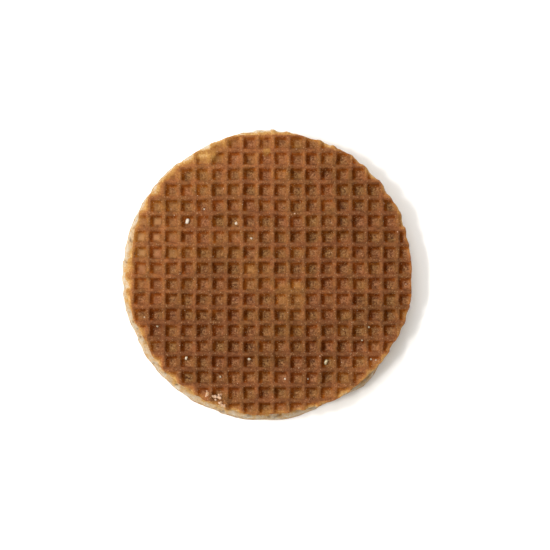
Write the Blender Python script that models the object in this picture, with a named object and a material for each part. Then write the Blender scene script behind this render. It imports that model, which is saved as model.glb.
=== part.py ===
"""Stroopwafel: a thin round waffle, split flat into two halves with a layer of syrup between them.

Metres, +Z up. The waffle lies flat: the ribs of its lower half touch z = 0, and the origin is the middle
of its base. Each half is a disc with an uneven cut edge. Its outer face carries a square grid of sloped
pits, pressed by one plate of the iron, and its inner face is the plain one that the knife left. The halves
were pressed together a little out of line, so the lower one shows past the upper one on one side.
"""

import math

import bmesh
import bpy
from mathutils import Matrix

MM = 0.001

# Heights, from the bottom up: lower half, gap, syrup, gap, upper half
HALF_HEIGHT = 3.4 * MM
SYRUP_HEIGHT = 1.1 * MM
CLEARANCE = 0.3 * MM

# Outlines. A half is widest at its baked face and leans in towards its cut face.
WAFER_RADIUS = 49.2 * MM
UNDERCUT = 1.0 * MM
SYRUP_RADIUS = 47.4 * MM
UPPER_CENTRE = (0.8 * MM, 0.6 * MM)
LOWER_CENTRE = (-0.8 * MM, -0.65 * MM)
EDGE_POINTS = 96
SYRUP_POINTS = 60

# Bumps and flats of each outline: direction in degrees, half width in degrees, height
UPPER_BUMPS = (
    (2, 9, -0.45 * MM),
    (95, 10, 0.35 * MM),
    (130, 14, -0.25 * MM),
    (168, 7, -0.75 * MM),
    (183, 8, 0.55 * MM),
    (221, 9, 0.40 * MM),
    (284, 13, -0.35 * MM),
    (312, 10, -0.35 * MM),
)
LOWER_BUMPS = (
    (132, 12, 0.50 * MM),
    (200, 8, -0.50 * MM),
    (258, 7, 0.30 * MM),
    (288, 9, 0.30 * MM),
    (313, 8, 0.90 * MM),
)
SYRUP_BUMPS = (
    (25, 14, 0.45 * MM),
    (75, 10, -0.50 * MM),
    (130, 16, 0.40 * MM),
    (185, 9, -0.45 * MM),
    (232, 12, 0.50 * MM),
    (282, 10, -0.55 * MM),
    (330, 13, 0.35 * MM),
)

# Fine ripple along every edge: waves in a turn, height
EDGE_RIPPLES = ((17, 0.08 * MM), (29, 0.06 * MM))

# The baked grid: square cells between narrow ribs, sunk with sloped walls to a small flat floor
PITCH = 5.34 * MM
RIB_TOP_WIDTH = 0.85 * MM
FLOOR_WIDTH = 2.0 * MM
PIT_DEPTH = 1.9 * MM
SHALLOWER_AT_EDGE = 0.25 * MM
RIB_CROSSING = (1.67 * MM, 0.0)  # a crossing of two ribs near the middle of the upper face
CUTTER_RISE = 0.2 * MM  # how far a pit cutter stands out of the face that it cuts
EDGE_OVERLAP = 1.6 * MM  # a pit is cut if its nearest corner lies at least this far inside the edge

# Spot of the upper face where the batter ran over the grid and baked smooth: x, y, radius
SMOOTH_SPOT = (-20.1 * MM, 42.0 * MM, 2.4 * MM)

# Colours: red, green, blue
CRUST_COLOUR = (0.36, 0.13, 0.035)
LOWER_COLOUR = (0.62, 0.38, 0.16)
SYRUP_COLOUR = (0.26, 0.075, 0.012)


def clear_scene():
    """Take every object out of the open file."""
    for thing in list(bpy.data.objects):
        bpy.data.objects.remove(thing)


def make_collection(name):
    """A collection of the scene, by name."""
    collection = bpy.data.collections.new(name)
    bpy.context.scene.collection.children.link(collection)
    return collection


def make_material(name, colour, roughness):
    """A Principled material of one colour, with no metal in it."""
    material = bpy.data.materials.new(name)
    material.use_nodes = True
    shader = material.node_tree.nodes["Principled BSDF"]
    shader.inputs["Base Color"].default_value = (*colour, 1.0)
    shader.inputs["Roughness"].default_value = roughness
    shader.inputs["Metallic"].default_value = 0.0
    return material


def make_object(name, mesh_data, collection):
    """An object of a finished bmesh, which is freed."""
    mesh = bpy.data.meshes.new(name)
    mesh_data.to_mesh(mesh)
    mesh_data.free()
    thing = bpy.data.objects.new(name, mesh)
    collection.objects.link(thing)
    return thing


def edge_offset(angle, bumps):
    """How far the edge stands out at an angle: a bell for each bump, and the fine ripple."""
    offset = sum(height * math.sin(waves * angle) for waves, height in EDGE_RIPPLES)
    for direction, half_width, height in bumps:
        away = math.remainder(angle - math.radians(direction), math.tau)
        offset += height * math.exp(-((away / math.radians(half_width)) ** 2))
    return offset


def make_disc(points, base_radius, top_radius, height, centre, base_z, bumps):
    """A bmesh disc with an uneven edge: a cone's two rings, each point moved in or out along its radius."""
    disc = bmesh.new()
    middle = Matrix.Translation((0.0, 0.0, base_z + height / 2))
    bmesh.ops.create_cone(
        disc,
        cap_ends=True,
        segments=points,
        radius1=base_radius,
        radius2=top_radius,
        depth=height,
        matrix=middle,
    )
    for corner in disc.verts:
        radius = math.hypot(corner.co.x, corner.co.y)
        angle = math.atan2(corner.co.y, corner.co.x)
        stretch = 1.0 + edge_offset(angle, bumps) / radius
        corner.co.x = corner.co.x * stretch + centre[0]
        corner.co.y = corner.co.y * stretch + centre[1]
    return disc


def nearest_corner(place, centre):
    """How far the nearest corner of a pit's mouth lies from the middle of its half."""
    half_opening = (PITCH - RIB_TOP_WIDTH) / 2
    across = max(abs(place[0] - centre[0]) - half_opening, 0.0)
    along = max(abs(place[1] - centre[1]) - half_opening, 0.0)
    return math.hypot(across, along)


def is_smooth(place, spot):
    """Whether a pit's middle falls in the smooth spot."""
    return math.dist(place, spot[:2]) < spot[2]


def pit_places(centre, crossing, bumps):
    """The middles of the pits: every cell of the grid that reaches far enough inside the edge."""
    places = []
    reach = math.ceil(WAFER_RADIUS / PITCH) + 1
    for column in range(-reach, reach + 1):
        for row in range(-reach, reach + 1):
            place = (crossing[0] + (column + 0.5) * PITCH, crossing[1] + (row + 0.5) * PITCH)
            angle = math.atan2(place[1] - centre[1], place[0] - centre[0])
            edge = WAFER_RADIUS + edge_offset(angle, bumps)
            if nearest_corner(place, centre) < edge - EDGE_OVERLAP:
                places.append(place)
    return places


def pit_depth(place, centre):
    """A pit's depth, which falls off towards the edge, where the iron's plates stand further apart."""
    share = math.hypot(place[0] - centre[0], place[1] - centre[1]) / WAFER_RADIUS
    return PIT_DEPTH - SHALLOWER_AT_EDGE * share**2


def make_pit_cutter(name, places, centre, face_z, outward, collection):
    """One cutter of separate four-sided cones, cut off flat, that sinks every pit of a face at once.

    outward is 1 for an upper face and -1 for a lower one. The walls keep their slope up to CUTTER_RISE
    past the face.
    """
    cutter = bmesh.new()
    corner_reach = math.sqrt(2.0)
    quarter = Matrix.Rotation(math.radians(45.0), 4, "Z")
    wall_run = (PITCH - RIB_TOP_WIDTH - FLOOR_WIDTH) / 2
    for place in places:
        depth = pit_depth(place, centre)
        mouth = FLOOR_WIDTH / 2 + wall_run * (depth + CUTTER_RISE) / depth
        low, high = (FLOOR_WIDTH / 2, mouth) if outward > 0 else (mouth, FLOOR_WIDTH / 2)
        middle_z = face_z + outward * (CUTTER_RISE - depth) / 2
        bmesh.ops.create_cone(
            cutter,
            cap_ends=True,
            segments=4,
            radius1=low * corner_reach,
            radius2=high * corner_reach,
            depth=depth + CUTTER_RISE,
            matrix=Matrix.Translation((*place, middle_z)) @ quarter,
        )
    thing = make_object(name, cutter, collection)
    thing.hide_render = True
    thing.display_type = "WIRE"
    return thing


def make_half(name, base_z, outward, centre, bumps, places, material, collections):
    """A waffle half: the disc, widest at its baked face, less the pits of that face."""
    parts, cutters = collections
    cut_radius = WAFER_RADIUS - UNDERCUT
    radii = (cut_radius, WAFER_RADIUS) if outward > 0 else (WAFER_RADIUS, cut_radius)
    disc = make_disc(EDGE_POINTS, *radii, HALF_HEIGHT, centre, base_z, bumps)
    half = make_object(name, disc, parts)
    half.data.materials.append(material)
    face_z = base_z + HALF_HEIGHT if outward > 0 else base_z
    cutter = make_pit_cutter(name + "_pits", places, centre, face_z, outward, cutters)
    grid = half.modifiers.new("Baked grid", "BOOLEAN")
    grid.operation = "DIFFERENCE"
    grid.solver = "EXACT"
    grid.object = cutter
    return half


def make_syrup(base_z, material, parts):
    """The syrup: a thin disc, set back from the edge of both halves, that runs right through the waffle."""
    centre = tuple((upper + lower) / 2 for upper, lower in zip(UPPER_CENTRE, LOWER_CENTRE))
    radii = (SYRUP_RADIUS, SYRUP_RADIUS)
    disc = make_disc(SYRUP_POINTS, *radii, SYRUP_HEIGHT, centre, base_z, SYRUP_BUMPS)
    syrup = make_object("syrup", disc, parts)
    syrup.data.materials.append(material)
    syrup.data.shade_smooth()
    syrup.data.set_sharp_from_angle(angle=math.radians(40.0))
    return syrup


def stand_on_origin(pieces, name, collection):
    """Parent the pieces to an empty that puts the middle of the whole base on the origin."""
    bpy.context.view_layer.update()
    graph = bpy.context.evaluated_depsgraph_get()
    corners = [
        piece.matrix_world @ corner.co
        for piece in pieces
        for corner in piece.evaluated_get(graph).data.vertices
    ]
    spans = [[corner[axis] for corner in corners] for axis in range(2)]
    middle = [(min(span) + max(span)) / 2 for span in spans]
    holder = bpy.data.objects.new(name, None)
    holder.location = (-middle[0], -middle[1], 0.0)
    collection.objects.link(holder)
    return holder


def main():
    clear_scene()
    parts = make_collection("stroopwafel")
    cutters = make_collection("stroopwafel_cutters")
    collections = (parts, cutters)
    slip = tuple(lower - upper for upper, lower in zip(UPPER_CENTRE, LOWER_CENTRE))
    lower_crossing = tuple(place + step for place, step in zip(RIB_CROSSING, slip))
    upper_pits = pit_places(UPPER_CENTRE, RIB_CROSSING, UPPER_BUMPS)
    upper_pits = [place for place in upper_pits if not is_smooth(place, SMOOTH_SPOT)]
    lower_pits = pit_places(LOWER_CENTRE, lower_crossing, LOWER_BUMPS)
    syrup_z = HALF_HEIGHT + CLEARANCE
    upper_z = syrup_z + SYRUP_HEIGHT + CLEARANCE
    crust = make_material("browned_crust", CRUST_COLOUR, 0.55)
    crumb = make_material("lower_crust", LOWER_COLOUR, 0.7)
    caramel = make_material("caramel_syrup", SYRUP_COLOUR, 0.2)
    upper = make_half("wafer_top", upper_z, 1, UPPER_CENTRE, UPPER_BUMPS, upper_pits, crust, collections)
    lower = make_half("wafer_bottom", 0.0, -1, LOWER_CENTRE, LOWER_BUMPS, lower_pits, crumb, collections)
    syrup = make_syrup(syrup_z, caramel, parts)
    pieces = (upper, lower, syrup)
    holder = stand_on_origin(pieces, "stroopwafel_base", parts)
    for thing in (*pieces, *cutters.objects):
        thing.parent = holder


main()
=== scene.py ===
"""Stroopwafel: the baked surface, the syrup and the loose sugar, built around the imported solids.

Metres, +Z up. Every size that the solids fix is read from their boxes. Run it as a script in Blender 4.5.
"""

import itertools
import math
from typing import NamedTuple

import bpy
import numpy as np
from bpy.props import FloatProperty, FloatVectorProperty, IntProperty, PointerProperty
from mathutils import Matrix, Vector


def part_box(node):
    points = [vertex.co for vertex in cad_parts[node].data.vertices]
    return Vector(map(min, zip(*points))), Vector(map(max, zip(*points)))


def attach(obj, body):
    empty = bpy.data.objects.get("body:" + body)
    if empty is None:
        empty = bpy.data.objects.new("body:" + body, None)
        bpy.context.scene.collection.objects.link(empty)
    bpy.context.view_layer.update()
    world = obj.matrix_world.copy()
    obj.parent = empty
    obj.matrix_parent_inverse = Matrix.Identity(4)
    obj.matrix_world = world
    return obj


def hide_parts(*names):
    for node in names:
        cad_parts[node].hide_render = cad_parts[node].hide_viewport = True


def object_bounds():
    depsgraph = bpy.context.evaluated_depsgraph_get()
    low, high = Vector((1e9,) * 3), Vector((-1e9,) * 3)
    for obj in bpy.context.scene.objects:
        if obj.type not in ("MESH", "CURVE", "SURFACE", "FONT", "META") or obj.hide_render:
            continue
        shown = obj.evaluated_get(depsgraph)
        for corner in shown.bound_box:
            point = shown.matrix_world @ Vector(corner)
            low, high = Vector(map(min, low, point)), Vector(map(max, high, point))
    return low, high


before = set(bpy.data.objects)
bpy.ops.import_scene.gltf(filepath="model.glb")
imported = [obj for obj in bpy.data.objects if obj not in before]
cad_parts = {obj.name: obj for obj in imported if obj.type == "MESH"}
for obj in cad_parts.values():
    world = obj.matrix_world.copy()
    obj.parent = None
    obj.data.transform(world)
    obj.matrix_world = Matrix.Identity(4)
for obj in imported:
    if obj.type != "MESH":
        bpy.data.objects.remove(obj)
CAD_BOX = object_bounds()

bl_info = {
    "name": "Stroopwafel",
    "version": (1, 0, 0),
    "blender": (4, 5, 0),
    "location": "3D View > Sidebar > Stroopwafel",
    "description": "Builds the baked halves, syrup, sugar and crumbs of a stroopwafel around its solids",
    "category": "Object",
}

MM = 0.001
TURN = 2.0 * math.pi
BODY = "root"

# Bumps and flats of each outline: direction in degrees, half width in degrees, height
UPPER_BUMPS = (
    (2, 9, -0.45 * MM),
    (95, 10, 0.35 * MM),
    (130, 14, -0.25 * MM),
    (168, 7, -0.75 * MM),
    (183, 8, 0.55 * MM),
    (221, 9, 0.40 * MM),
    (284, 13, -0.35 * MM),
    (312, 10, -0.35 * MM),
)
LOWER_BUMPS = (
    (132, 12, 0.50 * MM),
    (200, 8, -0.50 * MM),
    (258, 7, 0.30 * MM),
    (288, 9, 0.30 * MM),
    (313, 8, 0.90 * MM),
)
SYRUP_BUMPS = (
    (25, 14, 0.45 * MM),
    (75, 10, -0.50 * MM),
    (130, 16, 0.40 * MM),
    (185, 9, -0.45 * MM),
    (232, 12, 0.50 * MM),
    (282, 10, -0.55 * MM),
    (330, 13, 0.35 * MM),
)
EDGE_RIPPLES = ((17, 0.08 * MM), (29, 0.06 * MM))  # waves in a turn, height

# Dents and swells that the finished edge has and its solid has not: direction, half width, height
UPPER_MOVES = (
    (24, 4, 0.35 * MM),
    (39, 5, 0.30 * MM),
    (54, 3, 0.50 * MM),
    (75, 6, -0.60 * MM),
    (108, 8, -0.25 * MM),
    (148, 13, 0.35 * MM),
    (171, 6, -0.35 * MM),
    (188, 9, 0.35 * MM),
    (210, 4, -0.60 * MM),
    (236, 5, -0.45 * MM),
    (275, 12, -0.60 * MM),
    (343, 9, 0.35 * MM),
)
LOWER_MOVES = (
    (160, 30, 0.65 * MM),
    (194, 9, 0.45 * MM),
    (230, 36, 0.70 * MM),
    (271, 9, 0.30 * MM),
    (279, 7, 0.30 * MM),
    (297, 9, -0.60 * MM),
    (315, 9, 1.10 * MM),
)

# Where the batter thinned out and baked paler and smoother at the rim of the upper half:
# direction in degrees, half width in degrees, breadth of the band, share of gold, share of smoothing
UPPER_RIM = (
    (0, 400, 1.7 * MM, 0.52, 0.10),
    (20, 30, 2.4 * MM, 0.12, 0.10),
    (60, 30, 2.6 * MM, 0.12, 0.10),
    (97, 15, 4.2 * MM, 0.36, 0.10),
    (124, 15, 4.4 * MM, 0.36, 0.20),
    (128, 26, 2.8 * MM, 0.00, 0.70),
    (149, 12, 4.4 * MM, 0.20, 0.05),
    (167, 9, 4.0 * MM, 0.20, 0.05),
    (187, 12, 4.2 * MM, 0.36, 0.40),
    (212, 13, 3.4 * MM, 0.22, 0.40),
    (236, 13, 3.0 * MM, 0.20, 0.30),
    (260, 18, 3.2 * MM, 0.28, 0.15),
    (304, 26, 6.5 * MM, 0.22, 0.15),
    (319, 13, 4.4 * MM, 0.14, 0.20),
)
LOWER_RIM = (
    (60, 40, 2.0 * MM, 0.45, 0.40),
    (200, 70, 2.2 * MM, 0.80, 0.35),
    (305, 26, 2.6 * MM, 0.60, 0.70),
)

# Spots of the upper face: x and y from its middle, radius, share of gold, share of smoothing
UPPER_SPOTS = (
    (-21.9 * MM, 41.7 * MM, 3.6 * MM, 0.30, 0.80),
    (3.5 * MM, 26.8 * MM, 3.0 * MM, 0.00, 0.10),
    (3.5 * MM, 31.9 * MM, 3.0 * MM, 0.00, 0.12),
    (-5.6 * MM, 0.9 * MM, 2.6 * MM, 0.03, 0.20),
    (4.9 * MM, -5.4 * MM, 2.7 * MM, 0.10, 0.30),
    (10.2 * MM, -5.4 * MM, 2.7 * MM, 0.12, 0.35),
    (5.2 * MM, -10.2 * MM, 2.7 * MM, 0.07, 0.25),
    (10.2 * MM, -10.2 * MM, 2.7 * MM, 0.10, 0.30),
    (-1.1 * MM, 41.8 * MM, 1.3 * MM, 0.40, 0.30),
)
LOWER_SPOTS = (
    (12.0 * MM, -20.0 * MM, 5.0 * MM, 0.15, 0.30),
    (-24.0 * MM, 9.0 * MM, 4.0 * MM, 0.20, 0.45),
)

# Broad patches of either face coloured darker, or paler below 0, partly uneven baking and partly painted
# light, mostly paler towards -X and +Y, where the lights stand: x and y from its middle, radius and
# darkening
BROAD_TONES_AND_PAINTED_LIGHT = (
    (-43.0 * MM, 14.0 * MM, 15.0 * MM, -0.13),
    (-43.0 * MM, -6.0 * MM, 9.0 * MM, -0.09),
    (-24.0 * MM, 42.0 * MM, 14.0 * MM, -0.11),
    (-2.0 * MM, 45.0 * MM, 14.0 * MM, -0.14),
    (34.0 * MM, -14.0 * MM, 15.0 * MM, 0.08),
    (28.0 * MM, 20.0 * MM, 17.0 * MM, 0.03),
    (-27.0 * MM, -23.0 * MM, 18.0 * MM, 0.13),
    (12.0 * MM, -34.0 * MM, 18.0 * MM, 0.06),
    (-30.0 * MM, 0.0 * MM, 8.0 * MM, 0.03),
    (-6.0 * MM, -1.0 * MM, 10.0 * MM, -0.04),
)

# Where the pits' floors are pale and pinkish: x and y from the face's middle, radius, share
PALE_FLOORS = (
    (-42.0 * MM, 13.0 * MM, 10.0 * MM, 1.10),
    (-40.0 * MM, 2.0 * MM, 7.0 * MM, 0.40),
    (-20.0 * MM, 34.0 * MM, 9.0 * MM, 0.25),
)

# Sugar on the upper face: x and y from its middle, width, length, turn in degrees, cloudiness
LARGE_GRAINS = (
    (-28.3 * MM, 17.9 * MM, 1.15 * MM, 1.85 * MM, -12, 0.0),
    (-11.5 * MM, 17.2 * MM, 0.80 * MM, 1.00 * MM, 30, 0.3),
    (-6.4 * MM, 12.1 * MM, 0.60 * MM, 0.80 * MM, 70, 0.4),
    (-22.5 * MM, 22.0 * MM, 0.45 * MM, 0.60 * MM, 10, 0.4),
    (-38.6 * MM, -18.1 * MM, 0.50 * MM, 0.65 * MM, 50, 0.5),
    (-43.0 * MM, -15.0 * MM, 0.45 * MM, 0.55 * MM, 0, 0.5),
    (-28.7 * MM, -29.0 * MM, 0.75 * MM, 1.15 * MM, -15, 0.6),
    (-7.1 * MM, -29.4 * MM, 0.70 * MM, 0.90 * MM, 60, 0.5),
    (19.3 * MM, -30.4 * MM, 1.15 * MM, 1.75 * MM, -28, 1.0),
    (-17.0 * MM, -35.5 * MM, 0.55 * MM, 0.70 * MM, 0, 0.5),
    (5.3 * MM, -36.2 * MM, 0.60 * MM, 0.80 * MM, 80, 0.5),
    (13.1 * MM, -36.2 * MM, 0.40 * MM, 0.50 * MM, 0, 0.5),
    (34.0 * MM, -18.4 * MM, 0.45 * MM, 0.60 * MM, 30, 0.6),
    (31.6 * MM, -22.9 * MM, 0.45 * MM, 0.55 * MM, 60, 0.6),
    (34.7 * MM, -29.4 * MM, 0.50 * MM, 0.65 * MM, 10, 0.6),
    (36.4 * MM, -29.7 * MM, 0.40 * MM, 0.55 * MM, 90, 0.6),
)

# The trail of pale crumbs that fell near the edge: x and y from the upper face's middle
CRUMB_TRAIL = (
    (-22.5 * MM, -40.3 * MM),
    (-20.9 * MM, -41.4 * MM),
    (-18.7 * MM, -42.7 * MM),
    (-17.5 * MM, -43.3 * MM),
    (-16.6 * MM, -44.8 * MM),
)

# The fine wrinkles of the ribs run along X: places are squeezed by this before their noise is read
WRINKLE_STRETCH = (0.3, 1.0)

# The noise of each outline and face starts from its own seed
UPPER_SEED = 100
LOWER_SEED = 200
SYRUP_SEED = 300

# Rows of faces that run in over the cut face, more where the ledge shows
UPPER_LEDGE_ROWS = 5
LOWER_LEDGE_ROWS = 8

# The stage
FLOOR_LINES = 9
SKY_FADE = (0.05, 0.60)  # heights between which the sky fades, as the upward part of its direction
CAMERA_RANGE = (0.01, 100.0)

# Numbers that pick one socket of Blender's Mix node in its colour mode
MIX_A = 6
MIX_B = 7
MIX_RESULT = 2


# ---------------------------------------------------------------- kinds of unevenness


class Waves(NamedTuple):
    """A kind of unevenness: its height, the size of its waves, its layers of noise and its own seed.

    Waves of height 1 are multiplied, where they are used, by the heights of what they shape.
    """

    height: float
    size: float
    layers: int
    seed: int


class Holes(NamedTuple):
    """A kind of pore: its depth, the distance from one to the next, the usual radius and its own seed."""

    depth: float
    spacing: float
    radius: float
    seed: int


class CellShare(NamedTuple):
    """What each cell of the grid has its own share of: the least, the greatest and its own seed."""

    least: float
    greatest: float
    seed: int


# The outline and the whole
TORN_EDGE = Waves(0.10 * MM, 2.6 * MM, 3, 90)
SWELLING = Waves(0.05, 38.0 * MM, 1, 7)
SAG = 0.015  # share of the height
SPOT_OUTLINES = Waves(0.35, 2.4 * MM, 1, 5)

# The ribs and pits
RIB_DRIFT = Waves(0.16 * MM, 11.0 * MM, 1, 41)
FINE_RIB_DRIFT = Waves(0.13 * MM, 3.1 * MM, 1, 43)
RAGGED_WALLS = Waves(1.0, 1.3 * MM, 2, 16)
WALL_STRETCH = CellShare(0.76, 1.24, 10)
CORNER_ROUNDING = 0.35  # the product's share where two walls join
CELL_DEPTH = CellShare(0.84, 1.16, 20)
RIB_TOPS = Waves(0.10 * MM, 7.0 * MM, 3, 21)
NICKS = Waves(2.2, 1.6 * MM, 1, 25)
NICK_THRESHOLD = 0.7  # the part of their waves above this cuts into the ribs
NICK_DEPTH = 0.20 * MM
WRINKLES = Waves(0.07 * MM, 0.85 * MM, 1, 34)
PIT_FLOORS = Waves(0.10 * MM, 1.7 * MM, 2, 27)
BLISTERS = Waves(0.045 * MM, 0.6 * MM, 1, 29)
PINHOLES = Holes(0.16 * MM, 2.3 * MM, 0.28 * MM, 31)

# The browning, from 0 (raw crumb) to 1 (darkest), and the hue, from 0 (reddish) to 1 (olive)
CRUST_TONE = 0.80
BAKED_PATCHES = Waves(0.08, 14.0 * MM, 3, 50)
BLOTCHES = Waves(1.0, 1.8 * MM, 2, 56)
BLOTCH_TONE = 0.07
BLOTCHES_IN_GOLD = 0.25
CELL_TONE = CellShare(-0.12, 0.12, 54)
GOLD_ON_RIBS = 0.72
GOLD_PALENESS = 0.92
HUE_DRIFT = Waves(0.35, 22.0 * MM, 2, 58)
HUE_PATCHES = Waves(0.6, 3.6 * MM, 2, 62)
CELL_HUE = CellShare(-0.45, 0.45, 60)
CROSS_RIB_REDNESS = 0.35
PIT_HUE_FROM = 1.0 / 2.2  # the pit share from which a pit has its own hue in full
SPOT_OLIVE = 3.0
CELL_PALENESS = CellShare(0.55, 1.20, 64)
PALE_FROM = 0.6  # the pit share from which a floor can be pale
# how pale a floor may still be beside the painted shade of the walls at -X and +Y
PALE_BESIDE_PAINTED_SHADE = 0.10

# Painted shade: the walls that a pit is coloured darker and redder beside, at -X and +Y, which face away
# from
# the lights: axis, whether it is the wall at that axis' high side, where the dark starts to fade, the
# breadth of its fade, and its share
PAINTED_SHADE_WALLS = (
    (0, False, 1.00 * MM, 0.95 * MM, 1.00),
    (1, True, 0.90 * MM, 1.00 * MM, 0.75),
)

# The crumb of the side and of the cut face
TORN_CRUMB = Waves(1.0, 1.5 * MM, 3, 70)
SIDE_ROUGHNESS = 0.32 * MM
SIDE_HOLES = (Holes(1.0, 1.25 * MM, 0.42 * MM, 74), Holes(0.6, 0.70 * MM, 0.24 * MM, 79))
SIDE_HOLE_DEPTH = 0.42 * MM
LARGE_HOLES = Holes(1.8, 1.90 * MM, 0.60 * MM, 81)
LEDGE_HOLE_SHARE = 0.35
LEDGE_ROUGHNESS = 0.16 * MM
LEDGE_HOLE_DEPTH = 0.32 * MM
FOOT_ROUGHNESS = 0.10 * MM
FIRM_CRUST = 0.9 * MM  # how far below the crust the side is still firm and fairly even
CRUMB_STAINS = Waves(0.09, 2.2 * MM, 3, 84)
CRUMB_TONE = 0.07
LEDGE_STAIN = 0.22  # how much browner the syrup stains the ledge
STAIN_BREADTH = 2.8 * MM
HOLE_PALENESS = 0.04
CRUST_UNEVENNESS = 0.5
HIDDEN_TONE = 0.1  # the browning of the hidden cut face
EVEN_HUE = 0.5

# The syrup's edge
SYRUP_RUNS = Waves(1.0, 6.0 * MM, 3, 10)
SYRUP_DROPS = Waves(0.10 * MM, 1.8 * MM, 2, 20)
SYRUP_RUN_REACH = 0.45 * MM
SYRUP_DRAWN_IN = 0.30 * MM
BULGE_SQUARENESS = 0.7
MEAN_BULGE = 0.7
BULGE_IN_RUNS = 0.5

# How finely outlines are fitted and rims are evened out
OUTLINE_POINTS = 720
FITTING_PASSES = 3
RIM_PASSES = 3
TRIM_MARGIN = 0.3  # how far inside the edge a point counts as inside, as a share of a step of the grid
SPARE_CELLS = 2

# The bake map: the hidden fan's place and size in it, and the room round the rest
FAN_PLACE = 0.04
FAN_SIZE = 0.03
MAP_MARGIN = 1.02

# Odd multipliers that stir a number's bits well
STIR_CELL = 0x9E3779B1
STIR_ONCE = 0x85EBCA6B
STIR_AGAIN = 0xC2B2AE35


# ---------------------------------------------------------------- noise


def hashed(cells, seed):
    """A fixed number from 0 to 1 for each lattice cell: its whole numbers, multiplied and stirred."""
    stirred = np.full(cells.shape[:-1], seed * STIR_CELL % 2**32, np.uint32)
    for axis in range(cells.shape[-1]):
        stirred = stirred ^ (cells[..., axis].astype(np.int64).astype(np.uint32) * np.uint32(STIR_CELL))
        stirred = (stirred ^ (stirred >> np.uint32(15))) * np.uint32(STIR_ONCE)
        stirred = (stirred ^ (stirred >> np.uint32(13))) * np.uint32(STIR_AGAIN)
        stirred = stirred ^ (stirred >> np.uint32(16))
    return stirred / 2.0**32


def eased(share):
    """The smoothstep of a share: three times its square less twice its cube, held between 0 and 1."""
    held = np.clip(share, 0.0, 1.0)
    return held * held * (3.0 - 2.0 * held)


def soft_noise(points, size, seed):
    """Soft random heights from -1 to 1: hashed numbers at a lattice's corners, blended by smoothsteps."""
    scaled = points / size
    low = np.floor(scaled)
    share = eased(scaled - low)
    total = np.zeros(points.shape[:-1])
    for corner in itertools.product((0.0, 1.0), repeat=points.shape[-1]):
        step = np.array(corner)
        weight = np.prod(step * share + (1.0 - step) * (1.0 - share), axis=-1)
        total += weight * hashed(low + step, seed)
    return 2.0 * total - 1.0


def waves(kind, points, seed=0):
    """Unevenness of one kind, from minus to plus its height.

    It is soft noise plus finer copies of itself, each of half the size and half the height of the one
    before, over the sum of their heights.
    """
    layer_heights = 0.5 ** np.arange(kind.layers)
    total = sum(
        height * soft_noise(points, kind.size * height, seed + kind.seed + number)
        for number, height in enumerate(layer_heights)
    )
    return kind.height * (total / layer_heights.sum())


def pores(kind, points, seed):
    """Round hollows, from 0 outside to their depth at the middle of each.

    Each lattice cell as large as their spacing holds one at a hashed place, of half to one and a half times
    the usual radius. Its share of the depth is one less the square of the distance in its own radii.
    """
    scaled = points / kind.spacing
    own_cell = np.floor(scaled)
    axes = points.shape[-1]
    seed = seed + kind.seed
    deepest = np.zeros(points.shape[:-1])
    for step in itertools.product((-1.0, 0.0, 1.0), repeat=axes):
        cell = own_cell + np.array(step)
        middle = cell + np.stack([hashed(cell, seed + axis) for axis in range(axes)], axis=-1)
        reach = kind.radius / kind.spacing * (0.5 + hashed(cell, seed + axes))
        away = np.linalg.norm(scaled - middle, axis=-1)
        deepest = np.maximum(deepest, 1.0 - (away / reach) ** 2)
    return kind.depth * deepest


# ---------------------------------------------------------------- outlines


def rays(angles):
    """The directions of length one at those angles."""
    return np.stack([np.cos(angles), np.sin(angles)], axis=-1)


def short_way(angles):
    """Angles as the same turns the short way round, from minus to plus half a turn."""
    return np.remainder(angles + math.pi, TURN) - math.pi


def bell(angles, direction, half_width):
    """A bell round a direction in degrees: e to minus the square of the angle from it in half widths."""
    return np.exp(-((short_way(angles - math.radians(direction)) / math.radians(half_width)) ** 2))


def edge_offset(angles, bumps):
    """How far an edge stands out at each angle: sine ripples, plus a bell of each bump's height."""
    offset = sum(height * np.sin(waves_round * angles) for waves_round, height in EDGE_RIPPLES)
    for direction, half_width, height in bumps:
        offset = offset + height * bell(angles, direction, half_width)
    return offset


class Disc:
    """A piece's outline, fitted to its solid's box: its middle, plain radius, bumps and heights."""

    def __init__(self, node, bumps, moves, seed):
        low, high = (np.array(corner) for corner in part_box(node))
        angles = np.linspace(0.0, TURN, OUTLINE_POINTS, endpoint=False)
        offset = edge_offset(angles, bumps)
        self.bumps = bumps + moves
        self.seed = seed
        self.low_z = low[2]
        self.high_z = high[2]
        self.radius = (high[0] - low[0]) / 2
        for _ in range(FITTING_PASSES):
            across = (self.radius + offset) * np.cos(angles)
            self.radius += ((high[0] - low[0]) - (across.max() - across.min())) / 2
        outline = rays(angles) * (self.radius + offset)[:, None]
        self.centre = (low[:2] + high[:2]) / 2 - (outline.max(axis=0) + outline.min(axis=0)) / 2

    def edge(self, angles):
        """The radius of the edge at each angle: plain radius and bumps, with a finely torn line on top."""
        torn = waves(TORN_EDGE, rays(angles) * self.radius, self.seed)
        return self.radius + edge_offset(angles, self.bumps) + torn

    def polar(self, place):
        """How each place lies from the middle: the way to it along X and Y, its angle and its distance."""
        away = place - self.centre
        return away, np.arctan2(away[..., 1], away[..., 0]), np.hypot(away[..., 0], away[..., 1])


def rim_weights(inward, angles, arcs):
    """The shares of gold and of smoothing near the rim.

    Each arc adds its share times a bell round its direction. Gold fades evenly over the arc's breadth, and
    smoothing by a smoothstep over its inner half.
    """
    gold = np.zeros(angles.shape)
    smooth = np.zeros(angles.shape)
    for direction, half_width, breadth, gold_share, smooth_share in arcs:
        beside = bell(angles, direction, half_width)
        fade = np.clip(1.0 - inward / breadth, 0.0, 1.0)
        gold += gold_share * beside * fade
        smooth += smooth_share * beside * eased(2.0 * fade)
    return np.clip([gold, smooth], 0.0, 1.0)


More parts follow.
